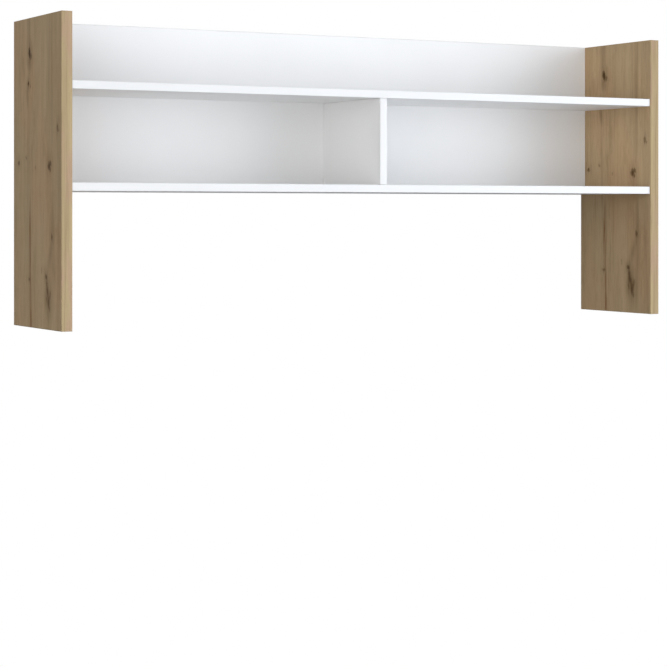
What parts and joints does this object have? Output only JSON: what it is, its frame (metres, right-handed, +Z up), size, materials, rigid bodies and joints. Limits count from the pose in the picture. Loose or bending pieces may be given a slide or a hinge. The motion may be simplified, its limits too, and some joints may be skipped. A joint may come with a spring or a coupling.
{
  "type": "desk hutch",
  "caption": "Free-standing open desk hutch: oak-decor side panels carry white shelves, a middle divider and a back panel, joined by cam locks, dowels and screws.",
  "frame": {"origin": "centre of the footprint, on the surface that the hutch stands on", "axes": "+X from the left side panel to the right one as seen from the front, +Y from the front edges to the rear, +Z up"},
  "size_m": [1.4, 0.262, 0.604],
  "materials": {
    "oak_decor": "knotty light oak melamine decor on chipboard, matt, grain upright",
    "oak_edging": "oak-print ABS edge band, satin",
    "white_melamine": "white melamine on chipboard, satin",
    "white_edging": "white ABS edge band, satin",
    "zinc": "die-cast zinc cam, dull",
    "steel": "zinc-plated steel",
    "beech": "plain fluted beech",
    "cap_plastic": "self-adhesive white screw cap, matt"
  },
  "bodies": {
    "root": {"left_side_panel": "oak_decor", "left_side_front_band": "oak_edging", "left_side_rear_band": "oak_edging", "left_side_bottom_band": "oak_edging", "left_side_top_band": "oak_edging", "right_side_panel": "oak_decor", "right_side_front_band": "oak_edging", "right_side_rear_band": "oak_edging", "right_side_bottom_band": "oak_edging", "right_side_top_band": "oak_edging", "upper_shelf": "white_melamine", "upper_shelf_front_band": "white_edging", "lower_shelf": "white_melamine", "lower_shelf_front_band": "white_edging", "divider": "white_melamine", "divider_front_band": "white_edging", "back_panel": "white_melamine", "back_panel_bottom_band": "white_edging", "back_panel_top_band": "white_edging", "upper_shelf_left_front_cam": "zinc", "upper_shelf_left_front_bolt": "steel", "upper_shelf_left_rear_cam": "zinc", "upper_shelf_left_rear_bolt": "steel", "upper_shelf_right_front_cam": "zinc", "upper_shelf_right_front_bolt": "steel", "upper_shelf_right_rear_cam": "zinc", "upper_shelf_right_rear_bolt": "steel", "lower_shelf_left_front_cam": "zinc", "lower_shelf_left_front_bolt": "steel", "lower_shelf_left_rear_cam": "zinc", "lower_shelf_left_rear_bolt": "steel", "lower_shelf_right_front_cam": "zinc", "lower_shelf_right_front_bolt": "steel", "lower_shelf_right_rear_cam": "zinc", "lower_shelf_right_rear_bolt": "steel", "back_panel_left_low_cam": "zinc", "back_panel_left_low_bolt": "steel", "back_panel_left_high_cam": "zinc", "back_panel_left_high_bolt": "steel", "back_panel_right_low_cam": "zinc", "back_panel_right_low_bolt": "steel", "back_panel_right_high_cam": "zinc", "back_panel_right_high_bolt": "steel", "upper_shelf_dowel_front": "beech", "upper_shelf_dowel_rear": "beech", "upper_shelf_screw_left": "steel", "upper_shelf_screw_left_cap": "cap_plastic", "upper_shelf_screw_middle": "steel", "upper_shelf_screw_middle_cap": "cap_plastic", "upper_shelf_screw_right": "steel", "upper_shelf_screw_right_cap": "cap_plastic", "lower_shelf_dowel_front": "beech", "lower_shelf_dowel_rear": "beech", "lower_shelf_screw_left": "steel", "lower_shelf_screw_left_cap": "cap_plastic", "lower_shelf_screw_middle": "steel", "lower_shelf_screw_middle_cap": "cap_plastic", "lower_shelf_screw_right": "steel", "lower_shelf_screw_right_cap": "cap_plastic"}
  },
  "joints": []
}
